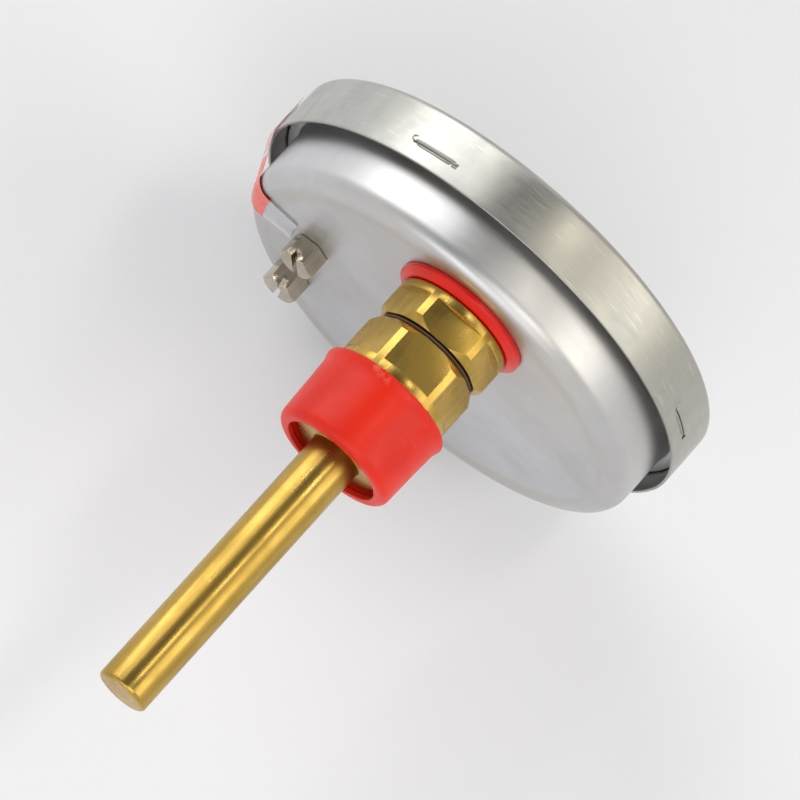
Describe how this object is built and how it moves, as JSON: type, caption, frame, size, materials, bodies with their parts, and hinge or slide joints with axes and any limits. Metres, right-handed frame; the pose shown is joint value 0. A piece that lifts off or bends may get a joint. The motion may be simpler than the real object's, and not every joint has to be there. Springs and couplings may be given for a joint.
{
  "type": "dial thermometer",
  "caption": "Round steel dial thermometer with an eccentric back stem, brass thermowell, gear movement and a pull-off thread cap.",
  "frame": {"origin": "on the well's axis, in the plane of the thermowell shoulder that seats on the tank", "axes": "+Y along the well away from the dial, +Z to 12 o'clock of the dial, +X to 3 o'clock seen from the front"},
  "size_m": [0.1005, 0.12, 0.1],
  "materials": {
    "stainless": "satin sheet with faint smudges",
    "turned_brass": "turned and polished",
    "nickel_plate": "dull nickel plating",
    "red_plastic": "soft moulded polyethylene",
    "red_gasket": "smooth",
    "black_rubber": "matt",
    "fibre": "matt fibre",
    "bronze": "drawn tube and strip",
    "glass": "clear",
    "white_dial": "semi-matt",
    "black_paint": "semi-matt",
    "seal_paper": "printed film",
    "movement_steel": "machined",
    "movement_brass": "stamped sheet"
  },
  "bodies": {
    "well": {"thermowell": "turned_brass"},
    "cap": {"thread_cap": "red_plastic"},
    "washer": {"joint_washer": "fibre"},
    "sector": {"sector_gear": "movement_brass", "sector_arbor": "movement_steel", "tail_pin": "movement_steel"},
    "link": {"link": "movement_brass"},
    "pointer": {"pinion": "movement_brass", "hairspring_collet": "movement_brass", "pointer": "black_paint", "pointer_hub": "black_paint"},
    "head": {"adapter_nut": "movement_brass", "anchor_block": "movement_brass", "bezel_ring": "stainless", "bezel_seal": "black_rubber", "bourdon_tip": "movement_brass", "bourdon_tube": "bronze", "bulb": "bronze", "capillary": "bronze", "case_gasket": "red_gasket", "case_pan": "stainless", "case_screw_1": "nickel_plate", "case_screw_2": "nickel_plate", "dial_plate": "white_dial", "dial_post_1": "movement_brass", "dial_post_2": "movement_brass", "dial_screw_1": "movement_steel", "dial_screw_2": "movement_steel", "glass": "glass", "glass_gasket": "black_rubber", "hairspring": "bronze", "hairspring_stud": "movement_brass", "movement_lower_plate": "movement_brass", "movement_screw_1": "movement_steel", "movement_screw_2": "movement_steel", "movement_screw_3": "movement_steel", "movement_upper_plate": "movement_brass", "pillar_1": "movement_brass", "pillar_2": "movement_brass", "pillar_3": "movement_brass", "plate_screw_1": "movement_steel", "plate_screw_2": "movement_steel", "seal_label": "seal_paper", "stem_adapter": "turned_brass", "tip_pin": "movement_steel"}
  },
  "joints": [
    {"name": "cap_slide", "type": "slide", "parent": "well", "child": "cap", "axis": [0, 1, 0], "range_m": [0, 0.085]},
    {"name": "head_rise", "type": "slide", "parent": "well", "child": "washer", "axis": [0, -1, 0], "range_m": [0, 0.0076]},
    {"name": "head_turn", "type": "hinge", "parent": "washer", "child": "head", "pos_m": [0, 0, 0], "axis": [0, -1, 0], "range_deg": [0, 1800]},
    {"name": "sector_turn", "type": "hinge", "parent": "head", "child": "sector", "pos_m": [-0.01013, -0.0296, -0.00996], "axis": [0, 1, 0], "range_deg": [-25, 5]},
    {"name": "pointer_turn", "type": "hinge", "parent": "head", "child": "pointer", "pos_m": [0, -0.0296, -0.0275], "axis": [0, 1, 0], "range_deg": [-45.01, 225.01]},
    {"name": "link_turn", "type": "hinge", "parent": "sector", "child": "link", "pos_m": [-0.01312, -0.0309, -0.00477], "axis": [0, 1, 0], "range_deg": [-5.01, 25.01]}
  ],
  "couplings": [
    {"joint": "head_rise", "follows": "head_turn", "m_per_rad": 0.00023873},
    {"joint": "pointer_turn", "follows": "sector_turn", "ratio": -9},
    {"joint": "link_turn", "follows": "sector_turn", "ratio": -1}
  ]
}
